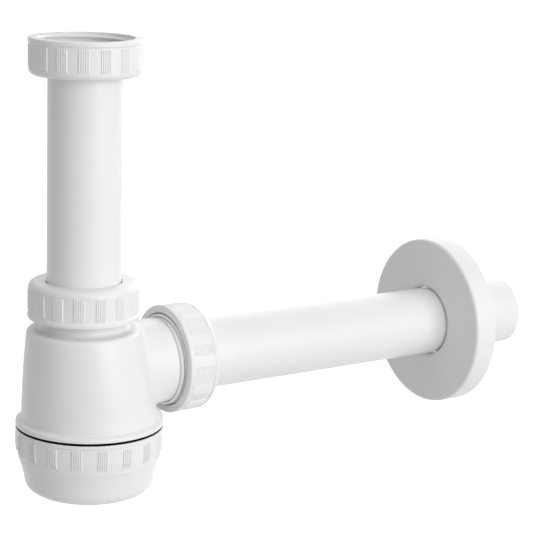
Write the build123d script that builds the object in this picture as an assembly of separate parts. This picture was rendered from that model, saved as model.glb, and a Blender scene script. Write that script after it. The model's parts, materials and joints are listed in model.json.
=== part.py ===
from build123d import *
import math
import os

# A bottle trap for a wash basin, in millimetres.
# The origin is the centre of the inlet nut's mouth, where the trap screws on to the basin waste.
# +Z runs up the inlet tube's axis and +X runs along the outlet tube, towards the wall.

# Main layout
OUTLET_DROP = 145.2
BOTTLE_OFFSET = 3.4
NECK_NUT_DROP = 104.7
OUTLET_NUT_REACH = 40.6
ROSETTE_REACH = 190.6
OUTLET_REACH = 239.4

# Tubes
TUBE_R = 16.0
TUBE_WALL = 1.8
TUBE_CHAMFER = 0.6
INLET_TUBE_LENGTH = 142.3
TUBE_FLANGE_THICKNESS = 2.2
BRANCH_INSERTION = 21.5

# Fits
SLIDE_GAP = 0.35
SEAL_GAP = 0.08
FACE_GAP = 0.05

# Union nuts: one size is used three times
NUT_HEIGHT = 16.0
NUT_RIM_R = 24.3
NUT_PANEL_R = 23.75
NUT_COLLAR_R = 23.95
NUT_RIM_HEIGHT = 2.5
NUT_RIM_SLOPE = 0.8
NUT_RIM_ROUND = 0.6
NUT_RIB_LENGTH = 10.6
NUT_CORNER = 2.8
NUT_LIP = 2.8
NUT_LIP_CHAMFER = 0.7
NUT_RIB_GROUPS = 16
THREAD_ROOT_R = 21.0
THREAD_LENGTH = 8.2
THREAD_RELIEF_R = 20.6
NUT_THREAD_SPACE = 1.6

# Grip ribs
RIBS_PER_GROUP = 5
RIB_CREST_SHARE = 0.3
NUT_RIB_PROUD = 0.4
NUT_RIB_PITCH_DEG = 2.3
CUP_RIB_PROUD = 0.4
CUP_RIB_PITCH_DEG = 1.65
CUP_RIB_GROUPS = 18
RIB_END_SLOPE = 0.9

# Turns at which the nuts and the cup stand when they are done up
INLET_NUT_TURN_DEG = 8.2
NECK_NUT_TURN_DEG = 11.4
OUTLET_NUT_TURN_DEG = 1.6
CUP_TURN_DEG = 11.2

# Inlet gasket, tapered seals and slip rings
GASKET_THICKNESS = 2.4
GASKET_BORE_R = 14.6
SLIP_RING_THICKNESS = 1.5
SEAL_HEAD = 0.8
SEAL_DEPTH = 6.0
SEAL_TOP_R = 18.5
SEAL_TIP_R = 16.75

# Body moulding
BODY_WALL = 2.2
BODY_TOP_R = 24.6
BODY_MIDDLE_R = 27.85
BODY_MIDDLE_SHIFT = 1.9
BODY_FOOT_R = 30.0
SHOULDER_ABOVE_OUTLET = 19.4
SHOULDER_ROUND = 2.2
NECK_R = 18.5
NECK_FILLET = 2.2
SPIGOT_THREAD_LENGTH = 10.0
SPIGOT_MOUTH_ROUND = 0.3
BRANCH_R = 19.0
BRANCH_FILLET = 3.0
BRANCH_STOP_R = 14.6
BRANCH_STOP_REACH = 26.5
DIP_WALL = 2.05
DIP_BELOW_OUTLET = 44.0
DIP_MOUTH_CHAMFER = 0.8

# Joint between body and cup
FLANGE_R = 32.4
FLANGE_ROOT_R = 29.6
FLANGE_HOLLOW = 4.0
FLANGE_ROUND = 3.3
FLANGE_TOP_BELOW_OUTLET = 14.0
FLANGE_ROOT_BELOW_OUTLET = 18.0
FLANGE_EDGE_BELOW_OUTLET = 20.5
FLANGE_FOOT_BELOW_OUTLET = 23.6
SKIRT_CORE_R = 28.6
SKIRT_WALL = 2.4
SKIRT_LENGTH = 9.9
CUP_SEAL_THICKNESS = 1.1
CUP_SEAL_INSET = 0.3

# Cup
CUP_THREAD_SPACE = 1.5
CUP_THREAD_DEPTH = 9.4
CUP_RIM_BAND = 1.9
CUP_RIM_SLOPE = 0.5
CUP_RIM_ROUND = 0.4
CUP_RIB_LENGTH = 9.2
CUP_RIB_ROOT = 0.6
CUP_STRAIGHT = 8.4
CUP_BAND_HEIGHT = 13.8
CUP_BAND_ROUND = 4.0
CUP_BAND_FOOT_R = 31.2
CUP_STEP = 0.35
CUP_DEPTH = 30.5
CUP_WALL = 2.3
CUP_BOWL_FOOT_R = 26.7
CUP_BOWL_ROUND = 8.5
CUP_BASE_RISE = 1.5

# Wall rosette
ROSETTE_FRONT_R = 38.2
ROSETTE_BACK_R = 39.3
ROSETTE_DEPTH = 11.8
ROSETTE_WALL = 1.8
ROSETTE_ROUND = 1.6
ROSETTE_HOLE_GAP = 0.8
ROSETTE_COLLAR_DEPTH = 4.0

# Radii and places that follow from the sizes above
BORE_R = TUBE_R + SLIDE_GAP
SPIGOT_CORE_R = THREAD_ROOT_R - NUT_THREAD_SPACE
SLIP_RING_R = SPIGOT_CORE_R - SLIDE_GAP
CUP_R = FLANGE_R
CUP_THREAD_ROOT_R = SKIRT_CORE_R + CUP_THREAD_SPACE
TUBE_BORE_R = TUBE_R - TUBE_WALL
DIP_R = BORE_R + DIP_WALL
LIP_SEAT = NUT_HEIGHT - NUT_LIP
OUTLET_Z = -OUTLET_DROP
SHOULDER_Z = OUTLET_Z + SHOULDER_ABOVE_OUTLET
DIP_FOOT_Z = OUTLET_Z - DIP_BELOW_OUTLET
NECK_NUT_MOUTH_Z = -NECK_NUT_DROP - NUT_HEIGHT
SPIGOT_TO_NUT_MOUTH = LIP_SEAT - 2 * FACE_GAP - SLIP_RING_THICKNESS - SEAL_HEAD
NECK_MOUTH_Z = NECK_NUT_MOUTH_Z + SPIGOT_TO_NUT_MOUTH
BRANCH_MOUTH_X = OUTLET_NUT_REACH + SPIGOT_TO_NUT_MOUTH
FLANGE_FOOT_Z = OUTLET_Z - FLANGE_FOOT_BELOW_OUTLET
CUP_RIM_Z = FLANGE_FOOT_Z - CUP_SEAL_THICKNESS - 2 * FACE_GAP
OUTLET_TUBE_START_X = BRANCH_MOUTH_X - BRANCH_INSERTION
TUBE_FLANGE_Z = -LIP_SEAT + FACE_GAP

# Length by which a cutting tool runs past the face it cuts
OVERCUT = 1.0

# Closeness at which an edge counts as lying on the branch
SEAM_TOLERANCE = 0.05

# Frames that the sub-parts are drawn in: each sub-part is turned about its local Z axis
BOTTLE_AXIS = Location((BOTTLE_OFFSET, 0, 0))
OUTLET_AXIS = Location((0, 0, OUTLET_Z), (0, 90, 0))
MOUTH_UP = Location((0, 0, 0), (180, 0, 0))


def turned(outline):
    """Solid turned about Z from a closed outline of (radius, height) corners.

    A corner with a third value is rounded by that radius.
    """
    corners = [Vector(corner[0], 0, corner[1]) for corner in outline]
    face = Face(Wire.make_polygon(corners))
    for place, corner in zip(corners, outline):
        if len(corner) == 3:
            nearest = face.vertices().sort_by_distance(place)[0]
            face = face.fillet_2d(corner[2], [nearest])
    return revolve(face, Axis.Z)


def rod(radius, low, high):
    """Plain cylinder along Z between two heights."""
    return Pos(0, 0, (low + high) / 2) * Cylinder(radius, high - low)


def pipe(outer_r, inner_r, low, high):
    """Plain ring or pipe along Z between two heights."""
    return rod(outer_r, low, high) - rod(inner_r, low, high)


def polar(radius, degrees):
    """Point of the XY plane at a radius and an angle."""
    angle = math.radians(degrees)
    return Vector(radius * math.cos(angle), radius * math.sin(angle), 0)


def ribbed_band(root_r, crest_r, groups, pitch_deg, low, high):
    """Grip band: groups of upright ridges, standing on a plain round core."""
    edges = []
    turn = 360 / groups
    group_width = RIBS_PER_GROUP * pitch_deg
    half_crest = pitch_deg * RIB_CREST_SHARE / 2
    for group in range(groups):
        start = group * turn - group_width / 2
        corners = [polar(root_r, start)]
        for rib in range(RIBS_PER_GROUP):
            middle = start + (rib + 0.5) * pitch_deg
            corners.append(polar(crest_r, middle - half_crest))
            corners.append(polar(crest_r, middle + half_crest))
            corners.append(polar(root_r, middle + pitch_deg / 2))
        for first, second in zip(corners, corners[1:]):
            edges.append(Edge.make_line(first, second))
        panel_start = start + group_width
        panel_end = start + turn
        panel_middle = (panel_start + panel_end) / 2
        edges.append(Edge.make_three_point_arc(
            polar(root_r, panel_start), polar(root_r, panel_middle), polar(root_r, panel_end)))
    return Pos(0, 0, low) * extrude(Face(Wire(edges)), high - low)


def union_nut():
    """Ribbed nut with its threaded mouth at z = 0 and its inward lip at the other end."""
    rib_end = NUT_RIM_HEIGHT + NUT_RIB_LENGTH
    crest_r = NUT_PANEL_R + NUT_RIB_PROUD
    blank = turned([
        (0, 0),
        (NUT_RIM_R, 0, NUT_RIM_ROUND),
        (NUT_RIM_R, NUT_RIM_HEIGHT - NUT_RIM_SLOPE),
        (NUT_PANEL_R, NUT_RIM_HEIGHT),
        (NUT_PANEL_R, rib_end),
        (NUT_COLLAR_R, rib_end),
        (NUT_COLLAR_R, NUT_HEIGHT, NUT_CORNER),
        (0, NUT_HEIGHT),
    ])
    ribs = ribbed_band(NUT_PANEL_R, crest_r, NUT_RIB_GROUPS, NUT_RIB_PITCH_DEG, NUT_RIM_HEIGHT, rib_end)
    ribs &= turned([
        (0, NUT_RIM_HEIGHT),
        (NUT_PANEL_R, NUT_RIM_HEIGHT),
        (crest_r, NUT_RIM_HEIGHT + RIB_END_SLOPE),
        (crest_r, rib_end - RIB_END_SLOPE),
        (NUT_PANEL_R, rib_end),
        (0, rib_end),
    ])
    inside = turned([
        (0, -OVERCUT),
        (THREAD_ROOT_R, -OVERCUT),
        (THREAD_ROOT_R, THREAD_LENGTH),
        (THREAD_RELIEF_R, THREAD_LENGTH),
        (THREAD_RELIEF_R, LIP_SEAT),
        (BORE_R, LIP_SEAT),
        (BORE_R, NUT_HEIGHT - NUT_LIP_CHAMFER),
        (BORE_R + NUT_LIP_CHAMFER, NUT_HEIGHT),
        (BORE_R + NUT_LIP_CHAMFER, NUT_HEIGHT + OVERCUT),
        (0, NUT_HEIGHT + OVERCUT),
    ])
    return blank + ribs - inside


def tapered_seal(mouth):
    """Rubber cone seated in a spigot's mouth round the tube, with its head above the mouth."""
    inner_r = TUBE_R + SEAL_GAP
    return turned([
        (inner_r, mouth + SEAL_HEAD),
        (SEAL_TOP_R, mouth + SEAL_HEAD),
        (SEAL_TOP_R, mouth),
        (SEAL_TIP_R, mouth - SEAL_DEPTH),
        (inner_r, mouth - SEAL_DEPTH),
    ])


def slip_ring(mouth):
    """Flat hard ring between a nut's lip and the seal's head."""
    low = mouth + SEAL_HEAD + FACE_GAP
    return pipe(SLIP_RING_R, BORE_R, low, low + SLIP_RING_THICKNESS)


def seal_seat(mouth):
    """Conical recess in a spigot's mouth for its seal."""
    floor = mouth - SEAL_DEPTH - SEAL_GAP
    return turned([
        (0, floor),
        (SEAL_TIP_R + SEAL_GAP, floor),
        (SEAL_TOP_R + SEAL_GAP, mouth),
        (SEAL_TOP_R + SEAL_GAP, mouth + OVERCUT),
        (0, mouth + OVERCUT),
    ])


def inlet_tube():
    """Upright tube with the flange that the inlet nut's lip pulls up.

    The flange and its gasket pass through the nut's thread, as a spigot does.
    """
    flange_top = TUBE_FLANGE_Z + TUBE_FLANGE_THICKNESS
    low = flange_top - INLET_TUBE_LENGTH
    return turned([
        (TUBE_BORE_R, low),
        (TUBE_R - TUBE_CHAMFER, low),
        (TUBE_R, low + TUBE_CHAMFER),
        (TUBE_R, TUBE_FLANGE_Z),
        (SPIGOT_CORE_R, TUBE_FLANGE_Z),
        (SPIGOT_CORE_R, flange_top),
        (TUBE_BORE_R, flange_top),
    ])


def inlet_gasket():
    """Flat gasket on the tube's flange, which the basin waste is drawn down on to."""
    low = TUBE_FLANGE_Z + TUBE_FLANGE_THICKNESS
    return pipe(SPIGOT_CORE_R, GASKET_BORE_R, low, low + GASKET_THICKNESS)


def outlet_tube():
    """Level tube from the branch through the rosette to the wall, along local Z."""
    return turned([
        (TUBE_BORE_R, OUTLET_TUBE_START_X),
        (TUBE_R - TUBE_CHAMFER, OUTLET_TUBE_START_X),
        (TUBE_R, OUTLET_TUBE_START_X + TUBE_CHAMFER),
        (TUBE_R, OUTLET_REACH - TUBE_CHAMFER),
        (TUBE_R - TUBE_CHAMFER, OUTLET_REACH),
        (TUBE_BORE_R, OUTLET_REACH),
    ])


def wall_rosette():
    """Shallow round cover, open at the wall side, with a short collar round the tube, along local Z."""
    front = ROSETTE_REACH
    back = front + ROSETTE_DEPTH
    hole_r = TUBE_R + ROSETTE_HOLE_GAP
    collar_r = hole_r + ROSETTE_WALL
    return turned([
        (hole_r, front),
        (ROSETTE_FRONT_R, front, ROSETTE_ROUND),
        (ROSETTE_BACK_R, back),
        (ROSETTE_BACK_R - ROSETTE_WALL, back),
        (ROSETTE_FRONT_R - ROSETTE_WALL, front + ROSETTE_WALL),
        (collar_r, front + ROSETTE_WALL),
        (collar_r, front + ROSETTE_COLLAR_DEPTH),
        (hole_r, front + ROSETTE_COLLAR_DEPTH),
    ])


def bottle():
    """Outside of the tapering bottle: round the inlet tube above, and round the bottle's own axis below."""
    side = loft([
        Pos(BOTTLE_OFFSET, 0, FLANGE_FOOT_Z) * Circle(BODY_FOOT_R),
        Pos(BODY_MIDDLE_SHIFT, 0, OUTLET_Z) * Circle(BODY_MIDDLE_R),
        Pos(0, 0, SHOULDER_Z) * Circle(BODY_TOP_R),
    ])
    shoulder_edge = side.edges().sort_by(Axis.Z)[-1]
    return fillet(shoulder_edge, SHOULDER_ROUND)


def bottle_chamber():
    """Hollow of the bottle, drawn so that its core pulls out through the skirt."""
    skirt_bore_r = SKIRT_CORE_R - SKIRT_WALL
    far_side = BODY_MIDDLE_SHIFT + BODY_MIDDLE_R - BODY_WALL
    near_side = BOTTLE_OFFSET - skirt_bore_r
    upper = loft([
        Pos(BOTTLE_OFFSET, 0, FLANGE_FOOT_Z) * Circle(skirt_bore_r),
        Pos((far_side + near_side) / 2, 0, OUTLET_Z) * Circle((far_side - near_side) / 2),
        Pos(0, 0, SHOULDER_Z - BODY_WALL) * Circle(BODY_TOP_R - BODY_WALL),
    ])
    return upper + BOTTLE_AXIS * rod(skirt_bore_r, FLANGE_FOOT_Z - SKIRT_LENGTH - OVERCUT, FLANGE_FOOT_Z)


def neck():
    """Plain neck, hollowed into the shoulder, with the spigot that carries the neck nut's thread."""
    thread_z = NECK_MOUTH_Z - SPIGOT_THREAD_LENGTH
    root_r = NECK_R + NECK_FILLET + OVERCUT
    return turned([
        (0, SHOULDER_Z - OVERCUT),
        (root_r, SHOULDER_Z - OVERCUT),
        (root_r, SHOULDER_Z),
        (NECK_R, SHOULDER_Z, NECK_FILLET),
        (NECK_R, thread_z - (SPIGOT_CORE_R - NECK_R)),
        (SPIGOT_CORE_R, thread_z),
        (SPIGOT_CORE_R, NECK_MOUTH_Z, SPIGOT_MOUTH_ROUND),
        (0, NECK_MOUTH_Z),
    ])


def branch():
    """Side branch with the spigot that carries the outlet nut's thread, along local Z."""
    thread_x = BRANCH_MOUTH_X - SPIGOT_THREAD_LENGTH
    return turned([
        (0, 0),
        (BRANCH_R, 0),
        (BRANCH_R, thread_x - (SPIGOT_CORE_R - BRANCH_R)),
        (SPIGOT_CORE_R, thread_x),
        (SPIGOT_CORE_R, BRANCH_MOUTH_X, SPIGOT_MOUTH_ROUND),
        (0, BRANCH_MOUTH_X),
    ])


def flange_and_skirt():
    """Rounded flange that the cup is drawn up to, and the skirt below it that carries the cup's thread."""
    skirt_foot = FLANGE_FOOT_Z - SKIRT_LENGTH
    return BOTTLE_AXIS * turned([
        (0, skirt_foot),
        (SKIRT_CORE_R, skirt_foot, SPIGOT_MOUTH_ROUND),
        (SKIRT_CORE_R, FLANGE_FOOT_Z),
        (FLANGE_R, FLANGE_FOOT_Z),
        (FLANGE_R, OUTLET_Z - FLANGE_EDGE_BELOW_OUTLET, FLANGE_ROUND),
        (FLANGE_ROOT_R, OUTLET_Z - FLANGE_ROOT_BELOW_OUTLET, FLANGE_HOLLOW),
        (FLANGE_ROOT_R - OVERCUT, OUTLET_Z - FLANGE_TOP_BELOW_OUTLET),
        (0, OUTLET_Z - FLANGE_TOP_BELOW_OUTLET),
    ])


def seam_of(solid):
    """Edges where the branch leaves the bottle: the curved ones on the branch, short of its thread."""
    seam = []
    for edge in solid.edges():
        middle = edge.position_at(0.5)
        from_axis = math.hypot(middle.Y, middle.Z - OUTLET_Z)
        on_branch = abs(from_axis - BRANCH_R) < SEAM_TOLERANCE and middle.X < BODY_FOOT_R + BOTTLE_OFFSET
        if on_branch and edge.geom_type != GeomType.LINE:
            seam.append(edge)
    return seam


def trap_body():
    """One moulding: neck, tapering bottle, outlet branch, flange, threaded skirt and inner dip sleeve."""
    outer = bottle() + OUTLET_AXIS * branch()
    outer = fillet(seam_of(outer), BRANCH_FILLET)
    outer += neck() + flange_and_skirt()
    body = outer - bottle_chamber() + rod(DIP_R, DIP_FOOT_Z, SHOULDER_Z - OVERCUT)
    dip_bore = turned([
        (0, DIP_FOOT_Z - OVERCUT),
        (BORE_R + DIP_MOUTH_CHAMFER, DIP_FOOT_Z - OVERCUT),
        (BORE_R + DIP_MOUTH_CHAMFER, DIP_FOOT_Z),
        (BORE_R, DIP_FOOT_Z + DIP_MOUTH_CHAMFER),
        (BORE_R, NECK_MOUTH_Z),
        (0, NECK_MOUTH_Z),
    ])
    branch_bore = rod(BORE_R, BRANCH_STOP_REACH, BRANCH_MOUTH_X)
    branch_bore += rod(BRANCH_STOP_R, DIP_R + OVERCUT, BRANCH_MOUTH_X)
    body -= dip_bore + seal_seat(NECK_MOUTH_Z)
    body -= OUTLET_AXIS * (branch_bore + seal_seat(BRANCH_MOUTH_X))
    return body


def cup_seal():
    """Flat ring between the flange and the cup's rim."""
    high = FLANGE_FOOT_Z - FACE_GAP
    inner_r = SKIRT_CORE_R + SLIDE_GAP
    return BOTTLE_AXIS * pipe(CUP_R - CUP_SEAL_INSET, inner_r, high - CUP_SEAL_THICKNESS, high)


def trap_cup():
    """Screw-off cup that catches what falls in: a ribbed band above a smooth round bowl."""
    panel_r = CUP_R - CUP_RIB_PROUD
    bowl_r = CUP_BAND_FOOT_R - CUP_STEP
    base_z = CUP_RIM_Z - CUP_DEPTH
    rib_top = CUP_RIM_Z - CUP_RIM_BAND
    rib_foot = rib_top - CUP_RIB_LENGTH
    straight_foot = CUP_RIM_Z - CUP_STRAIGHT
    band_foot = CUP_RIM_Z - CUP_BAND_HEIGHT
    thread_foot = CUP_RIM_Z - CUP_THREAD_DEPTH
    blank = turned([
        (0, CUP_RIM_Z),
        (CUP_R, CUP_RIM_Z, CUP_RIM_ROUND),
        (CUP_R, rib_top + CUP_RIM_SLOPE),
        (panel_r, rib_top),
        (panel_r, straight_foot, CUP_BAND_ROUND),
        (CUP_BAND_FOOT_R, band_foot),
        (bowl_r, band_foot - CUP_STEP),
        (CUP_BOWL_FOOT_R, base_z + CUP_BASE_RISE, CUP_BOWL_ROUND),
        (0, base_z),
    ])
    ribs = Rot(0, 0, CUP_TURN_DEG) * ribbed_band(
        panel_r - CUP_RIB_ROOT, CUP_R, CUP_RIB_GROUPS, CUP_RIB_PITCH_DEG, rib_foot, rib_top)
    ribs &= turned([
        (0, rib_top),
        (panel_r, rib_top),
        (CUP_R, rib_top - RIB_END_SLOPE),
        (CUP_R, straight_foot, CUP_BAND_ROUND),
        (CUP_BAND_FOOT_R + CUP_RIB_PROUD, band_foot),
        (0, band_foot),
    ])
    waist_r = bowl_r - CUP_WALL
    hollow = turned([
        (0, CUP_RIM_Z + OVERCUT),
        (CUP_THREAD_ROOT_R, CUP_RIM_Z + OVERCUT),
        (CUP_THREAD_ROOT_R, thread_foot),
        (waist_r, thread_foot - (CUP_THREAD_ROOT_R - waist_r)),
        (CUP_BOWL_FOOT_R - CUP_WALL, base_z + CUP_BASE_RISE + CUP_WALL, CUP_BOWL_ROUND - CUP_WALL),
        (0, base_z + CUP_WALL),
    ])
    return BOTTLE_AXIS * (blank + ribs - hollow)


def build():
    """All sub-parts by node name, each in the part's own frame."""
    nut = union_nut()
    return {
        "trap_body": trap_body(),
        "trap_cup": trap_cup(),
        "cup_seal": cup_seal(),
        "neck_nut": Location((0, 0, NECK_NUT_MOUTH_Z)) * Rot(0, 0, NECK_NUT_TURN_DEG) * nut,
        "neck_slip_ring": slip_ring(NECK_MOUTH_Z),
        "inlet_seal": tapered_seal(NECK_MOUTH_Z),
        "inlet_tube": inlet_tube(),
        "inlet_nut": MOUTH_UP * Rot(0, 0, INLET_NUT_TURN_DEG) * nut,
        "inlet_gasket": inlet_gasket(),
        "outlet_nut": OUTLET_AXIS * Pos(0, 0, OUTLET_NUT_REACH) * Rot(0, 0, OUTLET_NUT_TURN_DEG) * nut,
        "outlet_slip_ring": OUTLET_AXIS * slip_ring(BRANCH_MOUTH_X),
        "outlet_seal": OUTLET_AXIS * tapered_seal(BRANCH_MOUTH_X),
        "outlet_tube": OUTLET_AXIS * outlet_tube(),
        "wall_rosette": OUTLET_AXIS * wall_rosette(),
    }


os.makedirs("parts", exist_ok=True)
for name, solid in build().items():
    export_step(solid, "parts/" + name + ".step")
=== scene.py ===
import json
import math
import bmesh
import bpy
from mathutils import Matrix, Vector


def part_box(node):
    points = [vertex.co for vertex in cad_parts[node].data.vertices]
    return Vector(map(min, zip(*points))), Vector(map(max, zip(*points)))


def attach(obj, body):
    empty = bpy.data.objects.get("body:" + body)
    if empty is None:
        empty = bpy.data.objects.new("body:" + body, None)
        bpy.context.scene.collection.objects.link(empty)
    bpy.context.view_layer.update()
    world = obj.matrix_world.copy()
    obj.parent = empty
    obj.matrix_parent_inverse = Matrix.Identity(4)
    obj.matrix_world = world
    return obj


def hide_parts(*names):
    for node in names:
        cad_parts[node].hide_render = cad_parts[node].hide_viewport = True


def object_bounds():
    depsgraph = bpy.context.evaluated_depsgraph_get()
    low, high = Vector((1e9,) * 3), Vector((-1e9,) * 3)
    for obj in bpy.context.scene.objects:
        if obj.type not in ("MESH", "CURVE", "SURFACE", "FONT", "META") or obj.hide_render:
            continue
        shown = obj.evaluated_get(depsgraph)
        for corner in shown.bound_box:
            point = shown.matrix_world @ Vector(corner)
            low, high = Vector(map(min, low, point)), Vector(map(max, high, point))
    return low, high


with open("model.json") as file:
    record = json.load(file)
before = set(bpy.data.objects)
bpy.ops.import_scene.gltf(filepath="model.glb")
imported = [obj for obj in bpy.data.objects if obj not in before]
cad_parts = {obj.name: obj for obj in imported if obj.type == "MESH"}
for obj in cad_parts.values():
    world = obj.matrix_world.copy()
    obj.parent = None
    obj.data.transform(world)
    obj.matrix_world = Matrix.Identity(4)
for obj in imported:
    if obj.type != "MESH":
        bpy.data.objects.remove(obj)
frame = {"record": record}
cad_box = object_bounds()

# The frame is in metres, and sizes in millimetres say so
MM = 0.001

# Camera, as fitted to the photograph's edges. The photograph is square.
IMAGE_PX = 533
FOCAL_PX = 1891.5
CAMERA_AZIMUTH = -34.81
CAMERA_ELEVATION = 12.46
CAMERA_ROLL = 1.66
CAMERA_PLACE = (-0.38924, -0.69748, 0.07931)
SENSOR_MM = 36.0
NEAREST_SEEN = 0.01

# Ground and light. Each soft box has a name, a place, a size and its watts.
FLOOR_DROP = 0.30
FLOOR_SIZE = 12.0
FLOOR_PAINT = (0.62, 0.62, 0.62, 1)
FLOOR_ROUGHNESS = 0.9
FLOOR_GLOW = 0.85
WORLD_LIGHT = 0.45
WORLD_SEEN = 1.0
LIT_MIDDLE = (0.08, 0, -0.12)
SOFT_BOXES = (
    ("key", (0.366, -1.32, 0.245), 0.9, 10.6),
    ("top", (0.15, -0.35, 1.0), 1.0, 1.9),
    ("rim", (0.9, 0.6, 0.3), 1.0, 4.4),
)

# Colours
WHITE = (0.86, 0.86, 0.86)
SEAL_WHITE = (0.72, 0.72, 0.71)
BLACK = (0.004, 0.004, 0.004)

# Finish of every plastic and rubber: broad clouds in its colour and gloss, and a fine grain on its surface
CLOUD_SCALE = 35
CLOUD_DETAIL = 3
CLOUD_SPAN = (0.3, 0.7)
CLOUD_SHADE = 0.975
GLOSS_SPREAD = 0.04
GRAIN_DETAIL = 2
GRAIN_DEPTH_MM = 0.1
DIE_LINE_STRETCH = 0.03
MOULDED = dict(colour=WHITE, grain=1400, bump=0.12)
DRAWN = dict(colour=WHITE, grain=1400, bump=0.10, roughness=0.36)
RUBBER = dict(grain=2000, bump=0.3)

# Finishes by the record's slot, and by node for the two tubes, whose die lines run along them
FINISHES = {
    "white_moulding": dict(MOULDED, name="body_plastic", roughness=0.38),
    "white_nut": dict(MOULDED, name="nut_plastic", roughness=0.40, shift=3.1),
    "white_rosette": dict(MOULDED, name="rosette_plastic", roughness=0.42, shift=11.3),
    "white_seal": dict(RUBBER, name="white_seal_rubber", colour=SEAL_WHITE, roughness=0.55, shift=15.9),
    "black_rubber": dict(
        RUBBER, name="black_seal_rubber", colour=BLACK, roughness=0.7, shift=19.4, gleam=0.05),
    "inlet_tube": dict(DRAWN, name="inlet_tube_plastic", stretch=(1, 1, DIE_LINE_STRETCH)),
    "outlet_tube": dict(DRAWN, name="outlet_tube_plastic", stretch=(DIE_LINE_STRETCH, 1, 1)),
}

# Screw threads in millimetres. Their ridges stand on the plain bores and spigots of the solids.
# Walls are a ridge's radii at its foot and at its crest. Spans run from a nut's mouth inwards or from
# the cup's rim upwards, so that a negative end lies outside the nut or below the rim.
NUT_FORM = dict(pitch=2.309, crest_half=0.25, slope=0.52)
NUT_WALLS = (21.0, 19.6)
NUT_THREADS = {"inlet_nut": (0.9, 7.4), "neck_nut": (2.0, 7.4), "outlet_nut": (2.0, 7.4)}
SPIGOT_WALLS = (19.4, 20.4)
SPIGOT_THREADS = {"neck_spigot": (1.7, 9.9), "branch_spigot": (-2.3, 9.9)}
SPIGOT_NUTS = {"neck_spigot": "neck_nut", "branch_spigot": "outlet_nut"}
CUP_FORM = dict(pitch=4.0, crest_half=0.45, slope=0.5)
CUP_WALLS = (30.1, 28.9)
CUP_THREAD = (-8.2, -1.3)
SKIRT_WALLS = (28.6, 29.8)
SKIRT_THREAD = (-7.5, -0.6)
THREAD_SINK = 0.08
THREAD_RUNOUT_DEG = 60
THREAD_STEP_DEG = 3.75
THREAD_CREASE_DEG = 35
CREST_ROUND_SHARE = 0.12
CREST_FLAT_SHARE = 0.6

# Foot of the body in millimetres. The photograph has a sharper and lower crease there than the solid.
# Pairs are heights above the flange's foot, in the solid and as shown. What lies nearer the axis than the
# skirt's radius stays, and the change sets in between two angles off the branch. What goes down the cone
# follows the cone's slope and its leaning axis.
FLANGE_HEIGHTS = ((0, 0), (0.6, 0.6), (3.1, 1.8), (5.6, 2.7), (8.3, 4.4), (10.5, 10.5))
FLANGE_R = 32.4
FLANGE_ROOT_R = 29.6
SKIRT_CLEAR_R = 28.0
CONE_SLOPE = 0.091
AXIS_SLOPE = 0.064
BRANCH_CLEAR_DEG = (25, 50)

# Foot of the cup in millimetres, a little fuller and lower than the solid's.
# The spread fades out at its reach above and below the foot's height, and the drop at the bowl's height.
CUP_FOOT_DROP = 0.5
CUP_FOOT_SPREAD = 0.8
CUP_FOOT_HEIGHT = 4.0
CUP_FOOT_REACH = 5.5
CUP_BOWL_HEIGHT = 13.0
WELD_MM = 0.002
SHELL_CREASE_DEG = 28

# Rosette in millimetres, a little wider and flatter than the solid's, with a rounded lip at the tube.
# Depths are measured from the solid's front.
ROSETTE_R = 40.05
ROSETTE_FRONT = 0.6
ROSETTE_WALL = 1.8
ROSETTE_EDGE_ROUND = 1.6
ROSETTE_HOLE_R = 16.35
ROSETTE_LIP_ROUND = 2.2
ROSETTE_COLLAR = 4.4
ROSETTE_SEGMENTS = 192
ROUND_STEPS = 8


def camera_matrix():
    """Turn and place of the camera from its azimuth, elevation and roll."""
    azimuth = math.radians(CAMERA_AZIMUTH)
    elevation = math.radians(CAMERA_ELEVATION)
    roll = math.radians(CAMERA_ROLL)
    back = Vector((
        math.sin(azimuth) * math.cos(elevation),
        -math.cos(azimuth) * math.cos(elevation),
        math.sin(elevation),
    ))
    right = Vector((0, 0, 1)).cross(back).normalized()
    up = back.cross(right)
    turned_right = right * math.cos(roll) + up * math.sin(roll)
    turned_up = up * math.cos(roll) - right * math.sin(roll)
    matrix = Matrix((turned_right, turned_up, back)).transposed().to_4x4()
    matrix.translation = Vector(CAMERA_PLACE)
    return matrix


def make_camera():
    """Camera that sees the object as the photograph does."""
    data = bpy.data.cameras.new("photo_camera")
    data.sensor_fit = "HORIZONTAL"
    data.sensor_width = SENSOR_MM
    data.lens = FOCAL_PX / IMAGE_PX * SENSOR_MM
    data.clip_start = NEAREST_SEEN
    camera = bpy.data.objects.new("photo_camera", data)
    camera.matrix_world = camera_matrix()
    bpy.context.scene.collection.objects.link(camera)
    bpy.context.scene.camera = camera


def make_soft_box(name, place, size, watts):
    """Large square lamp that points at the object's middle."""
    data = bpy.data.lights.new(name, "AREA")
    data.shape = "SQUARE"
    data.size = size
    data.energy = watts
    lamp = bpy.data.objects.new(name, data)
    lamp.location = place
    lamp.rotation_euler = (Vector(LIT_MIDDLE) - Vector(place)).to_track_quat("-Z", "Y").to_euler()
    lamp.visible_camera = False
    bpy.context.scene.collection.objects.link(lamp)


def seen_directly(tree):
    """Output that is 1 for camera, glossy and transmission rays, and 0 for the light that falls on things."""
    path = tree.nodes.new("ShaderNodeLightPath")
    seen = path.outputs["Is Camera Ray"]
    for ray in ("Is Glossy Ray", "Is Transmission Ray"):
        either = tree.nodes.new("ShaderNodeMath")
        either.operation = "MAXIMUM"
        tree.links.new(seen, either.inputs[0])
        tree.links.new(path.outputs[ray], either.inputs[1])
        seen = either.outputs["Value"]
    return seen


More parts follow.
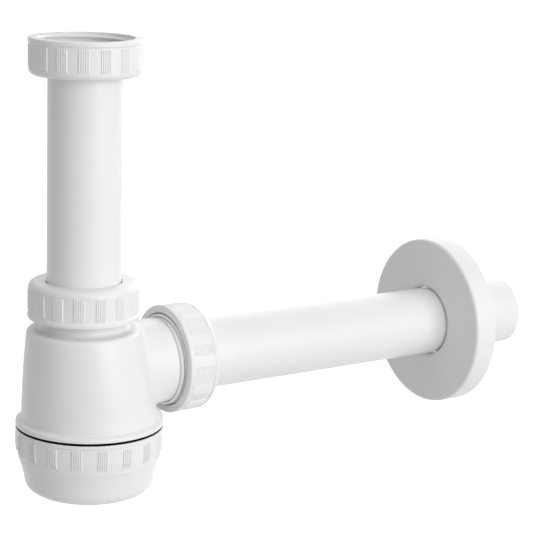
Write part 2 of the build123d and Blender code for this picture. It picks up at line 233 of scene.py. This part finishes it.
def make_world():
    """Soft even light from all round, in front of a white background."""
    world = bpy.data.worlds.new("studio")
    bpy.context.scene.world = world
    world.use_nodes = True
    tree = world.node_tree
    tree.nodes.clear()
    mix = tree.nodes.new("ShaderNodeMixShader")
    tree.links.new(seen_directly(tree), mix.inputs["Fac"])
    for place, strength in ((1, WORLD_LIGHT), (2, WORLD_SEEN)):
        background = tree.nodes.new("ShaderNodeBackground")
        background.inputs["Color"].default_value = (1, 1, 1, 1)
        background.inputs["Strength"].default_value = strength
        tree.links.new(background.outputs["Background"], mix.inputs[place])
    out = tree.nodes.new("ShaderNodeOutputWorld")
    tree.links.new(mix.outputs["Shader"], out.inputs["Surface"])


def floor_material():
    """Pale matt floor that takes the object's shadow and looks white."""
    material = bpy.data.materials.new("floor_white")
    material.use_nodes = True
    tree = material.node_tree
    paint = tree.nodes["Principled BSDF"]
    paint.inputs["Base Color"].default_value = FLOOR_PAINT
    paint.inputs["Roughness"].default_value = FLOOR_ROUGHNESS
    glow = tree.nodes.new("ShaderNodeEmission")
    glow.inputs["Strength"].default_value = FLOOR_GLOW
    both = tree.nodes.new("ShaderNodeAddShader")
    mix = tree.nodes.new("ShaderNodeMixShader")
    tree.links.new(paint.outputs["BSDF"], both.inputs[0])
    tree.links.new(glow.outputs["Emission"], both.inputs[1])
    tree.links.new(seen_directly(tree), mix.inputs["Fac"])
    tree.links.new(paint.outputs["BSDF"], mix.inputs[1])
    tree.links.new(both.outputs["Shader"], mix.inputs[2])
    tree.links.new(mix.outputs["Shader"], tree.nodes["Material Output"].inputs["Surface"])
    return material


def make_floor():
    """Plain level floor well under the object."""
    level = cad_box[0][2] - FLOOR_DROP
    half = FLOOR_SIZE / 2
    corners = [(-half, -half, level), (half, -half, level), (half, half, level), (-half, half, level)]
    mesh = bpy.data.meshes.new("studio_floor")
    mesh.from_pydata(corners, [], [(0, 1, 2, 3)])
    mesh.materials.append(floor_material())
    floor = bpy.data.objects.new("studio_floor", mesh)
    bpy.context.scene.collection.objects.link(floor)


def noise(tree, mapping, scale, detail):
    """Noise over the mapped object coordinates."""
    texture = tree.nodes.new("ShaderNodeTexNoise")
    texture.inputs["Scale"].default_value = scale
    texture.inputs["Detail"].default_value = detail
    tree.links.new(mapping.outputs["Vector"], texture.inputs["Vector"])
    return texture.outputs["Fac"]


def plastic(name, colour, roughness, grain, bump, stretch=(1, 1, 1), shift=0.0, gleam=0.5):
    """Moulded plastic or rubber: faintly clouded colour and gloss under a very fine surface grain.

    The stretch draws the pattern out along one axis, as an extruded tube's die lines run.
    """
    material = bpy.data.materials.new(name)
    material.use_nodes = True
    tree = material.node_tree
    shader = tree.nodes["Principled BSDF"]
    shader.inputs["Specular IOR Level"].default_value = gleam
    place = tree.nodes.new("ShaderNodeTexCoord")
    mapping = tree.nodes.new("ShaderNodeMapping")
    mapping.inputs["Location"].default_value = (shift, shift, shift)
    mapping.inputs["Scale"].default_value = stretch
    tree.links.new(place.outputs["Object"], mapping.inputs["Vector"])
    cloud = noise(tree, mapping, CLOUD_SCALE, CLOUD_DETAIL)
    tint = tree.nodes.new("ShaderNodeValToRGB")
    for stop, position, shade in zip(tint.color_ramp.elements, CLOUD_SPAN, (CLOUD_SHADE, 1)):
        stop.position = position
        stop.color = tuple(shade * share for share in colour) + (1,)
    tree.links.new(cloud, tint.inputs["Fac"])
    tree.links.new(tint.outputs["Color"], shader.inputs["Base Color"])
    gloss = tree.nodes.new("ShaderNodeMapRange")
    gloss.inputs["To Min"].default_value = roughness - GLOSS_SPREAD
    gloss.inputs["To Max"].default_value = roughness + GLOSS_SPREAD
    tree.links.new(cloud, gloss.inputs["Value"])
    tree.links.new(gloss.outputs["Result"], shader.inputs["Roughness"])
    relief = tree.nodes.new("ShaderNodeBump")
    relief.inputs["Strength"].default_value = bump
    relief.inputs["Distance"].default_value = GRAIN_DEPTH_MM * MM
    tree.links.new(noise(tree, mapping, grain, GRAIN_DETAIL), relief.inputs["Height"])
    tree.links.new(relief.outputs["Normal"], shader.inputs["Normal"])
    return material


def dress_nodes(materials):
    """Gives each CAD node its own material, or else its slot's."""
    for row in frame["record"]["subparts"]:
        node = row["node"]
        piece = bpy.data.objects[node]
        piece.data.materials.clear()
        piece.data.materials.append(materials.get(node, materials.get(row["material_slot"])))


def show_piece(mesh, crease_deg, body, slot, materials):
    """Shows a mesh on a body in its slot's material, smooth up to its creases, under the mesh's name."""
    mesh.shade_smooth()
    mesh.set_sharp_from_angle(angle=math.radians(crease_deg))
    mesh.materials.append(materials[slot])
    piece = bpy.data.objects.new(mesh.name, mesh)
    bpy.context.scene.collection.objects.link(piece)
    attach(piece, body)
    return piece


def ring_faces(here, there, size):
    """Faces that join one closed ring of corners to the next, from the number of each ring's first."""
    faces = []
    for corner in range(size):
        after = (corner + 1) % size
        faces.append((here + corner, there + corner, there + after, here + after))
    return faces


def along_runs(value, runs):
    """Value carried along straight runs between (from, to) pairs in rising order."""
    for (low, low_to), (high, high_to) in zip(runs, runs[1:]):
        if value <= high:
            return low_to + (value - low) / (high - low) * (high_to - low_to)
    return value


def eased(value, low, high):
    """Smooth step from 0 at low to 1 at high."""
    share = min(1, max(0, (value - low) / (high - low)))
    return share * share * (3 - 2 * share)


def bottle_middle():
    """Distance of the bottle's own axis from the inlet tube's."""
    seal_low, seal_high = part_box("cup_seal")
    return (seal_low[0] + seal_high[0]) / 2


def reshaped(name, node, move):
    """Copy of a CAD node's mesh with its corners moved."""
    solid = bpy.data.objects[node].data
    mesh = bpy.data.meshes.new(name)
    mesh.from_pydata([move(corner.co) for corner in solid.vertices], [],
                     [tuple(face.vertices) for face in solid.polygons])
    welded = bmesh.new()
    welded.from_mesh(mesh)
    bmesh.ops.remove_doubles(welded, verts=welded.verts, dist=WELD_MM * MM)
    welded.to_mesh(mesh)
    welded.free()
    return mesh


def make_shells(materials):
    """Body and cup with their feet as the photograph shows them, in the solids' places."""
    bottle_x = bottle_middle()
    flange_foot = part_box("cup_seal")[1][2]
    cup_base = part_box("trap_cup")[0][2]

    def move_flange(place):
        """Draws the flange's hollow down the cone, clear of the branch."""
        across = Vector((place.x - bottle_x, place.y, 0))
        radius = across.length / MM
        height = (place.z - flange_foot) / MM
        if radius < SKIRT_CLEAR_R or height < 0:
            return place.copy()
        off_branch = abs(math.degrees(math.atan2(across.y, across.x)))
        drop = (height - along_runs(height, FLANGE_HEIGHTS)) * eased(off_branch, *BRANCH_CLEAR_DEG)
        on_cone = 1 - min(1, max(0, (radius - FLANGE_ROOT_R) / (FLANGE_R - FLANGE_ROOT_R)))
        moved = place + across.normalized() * (on_cone * CONE_SLOPE * drop * MM)
        moved.x += on_cone * AXIS_SLOPE * drop * MM
        moved.z -= drop * MM
        return moved

    def move_bowl(place):
        """Lowers the bowl's bottom and spreads its rounded edge."""
        across = Vector((place.x - bottle_x, place.y, 0))
        height = (place.z - cup_base) / MM
        if height > CUP_BOWL_HEIGHT:
            return place.copy()
        near_edge = 1 - eased(abs(height - CUP_FOOT_HEIGHT), 0, CUP_FOOT_REACH)
        spread = CUP_FOOT_SPREAD * near_edge * across.length / (FLANGE_R * MM)
        moved = place + across.normalized() * (spread * MM)
        moved.z -= CUP_FOOT_DROP * (1 - eased(height, 0, CUP_BOWL_HEIGHT)) * MM
        return moved

    for name, node, move in (("bottle_shell", "trap_body", move_flange),
                             ("cup_shell", "trap_cup", move_bowl)):
        shell = show_piece(reshaped(name, node, move), SHELL_CREASE_DEG, node, "white_moulding", materials)
        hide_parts(node)


def quarter_round(middle, radius, start_deg):
    """Points of a quarter circle about a middle, from a starting angle."""
    points = []
    for step in range(ROUND_STEPS + 1):
        angle = math.radians(start_deg + 90 * step / ROUND_STEPS)
        points.append((middle[0] + radius * math.cos(angle), middle[1] + radius * math.sin(angle)))
    return points


def rosette_section(depth):
    """Closed section of the rosette as (radius, depth), from the collar's end round the front to the back."""
    lip_middle = (ROSETTE_HOLE_R + ROSETTE_LIP_ROUND, ROSETTE_FRONT + ROSETTE_LIP_ROUND)
    edge_middle = (ROSETTE_R - ROSETTE_EDGE_ROUND, ROSETTE_FRONT + ROSETTE_EDGE_ROUND)
    inside = ROSETTE_FRONT + ROSETTE_WALL
    return [
        (ROSETTE_HOLE_R, ROSETTE_COLLAR),
        *quarter_round(lip_middle, ROSETTE_LIP_ROUND, 180),
        *quarter_round(edge_middle, ROSETTE_EDGE_ROUND, 270),
        (ROSETTE_R, depth),
        (ROSETTE_R - ROSETTE_WALL, depth),
        (ROSETTE_R - ROSETTE_WALL, inside),
        (ROSETTE_HOLE_R + ROSETTE_WALL, inside),
        (ROSETTE_HOLE_R + ROSETTE_WALL, ROSETTE_COLLAR),
    ]


def make_rosette(materials):
    """Round cover at the wall, turned about the level tube, in the solid's place."""
    low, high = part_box("wall_rosette")
    section = rosette_section((high[0] - low[0]) / MM)
    size = len(section)
    centre = Vector((low[0], (low[1] + high[1]) / 2, (low[2] + high[2]) / 2))
    points = []
    faces = []
    for segment in range(ROSETTE_SEGMENTS):
        angle = math.tau * segment / ROSETTE_SEGMENTS
        for radius, depth in section:
            points.append(centre + Vector((depth, radius * math.cos(angle), radius * math.sin(angle))) * MM)
        faces += ring_faces(segment * size, (segment + 1) % ROSETTE_SEGMENTS * size, size)
    mesh = bpy.data.meshes.new("rosette_shell")
    mesh.from_pydata(points, [], faces)
    shell = show_piece(mesh, SHELL_CREASE_DEG, "wall_rosette", "white_rosette", materials)
    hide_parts("wall_rosette")


def ridge_section(walls, form, share):
    """Closed section of a thread ridge, grown to a share of its full height.

    Its points are a radius and a height from the ridge's middle.
    """
    base_r, crest_r = walls
    height = abs(crest_r - base_r) * share
    way = math.copysign(1, crest_r - base_r)
    shoulder = height * (1 - CREST_ROUND_SHARE)
    half = [
        (-THREAD_SINK, form["crest_half"] + (height + THREAD_SINK) * form["slope"]),
        (shoulder, form["crest_half"] + (height - shoulder) * form["slope"]),
        (height, form["crest_half"] * CREST_FLAT_SHARE),
    ]
    lower = [(base_r + way * rise, -width) for rise, width in half]
    upper = [(base_r + way * rise, width) for rise, width in reversed(half)]
    return lower + upper


def thread_mesh(name, place, walls, form, span):
    """Right-hand screw ridge about a piece's own axis, which runs out into the wall at both ends.

    A ridge on the outside of a wall runs half a pitch from one on the inside, so that a spigot's
    and its nut's lie in each other's grooves.
    """
    low, high = span
    outside = walls[1] > walls[0]
    lead = form["pitch"] / 2 if outside else 0
    turn_deg = (high - low) / form["pitch"] * 360
    steps = math.ceil(turn_deg / THREAD_STEP_DEG)
    points = []
    for step in range(steps + 1):
        gone = turn_deg * step / steps
        runout = min(gone, turn_deg - gone) / THREAD_RUNOUT_DEG
        middle = low + (high - low) * step / steps
        angle = math.tau * (middle - lead) / form["pitch"]
        for radius, rise in ridge_section(walls, form, min(1, runout)):
            local = Vector((radius * math.cos(angle), radius * math.sin(angle), middle + rise))
            points.append(place @ (local * MM))
    size = len(points) // (steps + 1)
    faces = [tuple(range(size)), tuple(reversed(range(steps * size, (steps + 1) * size)))]
    for step in range(steps):
        faces += ring_faces(step * size, (step + 1) * size, size)
    mesh = bpy.data.meshes.new(name)
    mesh.from_pydata(points, [], faces)
    if not outside:
        mesh.flip_normals()
    return mesh


def make_threads(materials):
    """Threads of the three nuts, the two spigots, the cup and its skirt."""
    outlet_low, outlet_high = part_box("outlet_tube")
    outlet_z = (outlet_low[2] + outlet_high[2]) / 2
    face_down = Matrix.Rotation(math.pi, 4, "X")
    face_wall = Matrix.Rotation(math.pi / 2, 4, "Y")
    mouths = {
        "inlet_nut": Matrix.Translation((0, 0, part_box("inlet_nut")[1][2])) @ face_down,
        "neck_nut": Matrix.Translation((0, 0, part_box("neck_nut")[0][2])),
        "outlet_nut": Matrix.Translation((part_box("outlet_nut")[0][0], 0, outlet_z)) @ face_wall,
    }
    cup_rim = Matrix.Translation((bottle_middle(), 0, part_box("trap_cup")[1][2]))
    for nut, span in NUT_THREADS.items():
        ridge = thread_mesh(nut + "_thread", mouths[nut], NUT_WALLS, NUT_FORM, span)
        show_piece(ridge, THREAD_CREASE_DEG, nut, "white_nut", materials)
    for spigot, span in SPIGOT_THREADS.items():
        ridge = thread_mesh(spigot + "_thread", mouths[SPIGOT_NUTS[spigot]], SPIGOT_WALLS, NUT_FORM, span)
        show_piece(ridge, THREAD_CREASE_DEG, "trap_body", "white_moulding", materials)
    for name, walls, span, body in (("cup_thread", CUP_WALLS, CUP_THREAD, "trap_cup"),
                                    ("skirt_thread", SKIRT_WALLS, SKIRT_THREAD, "trap_body")):
        ridge = thread_mesh(name, cup_rim, walls, CUP_FORM, span)
        show_piece(ridge, THREAD_CREASE_DEG, body, "white_moulding", materials)


def main():
    """Camera, light and floor first, then the object's finishes and the pieces that the solids lack."""
    bpy.context.scene.view_settings.view_transform = "Standard"
    make_camera()
    make_world()
    for soft_box in SOFT_BOXES:
        make_soft_box(*soft_box)
    make_floor()
    materials = {key: plastic(**finish) for key, finish in FINISHES.items()}
    dress_nodes(materials)
    make_shells(materials)
    make_rosette(materials)
    make_threads(materials)


main()
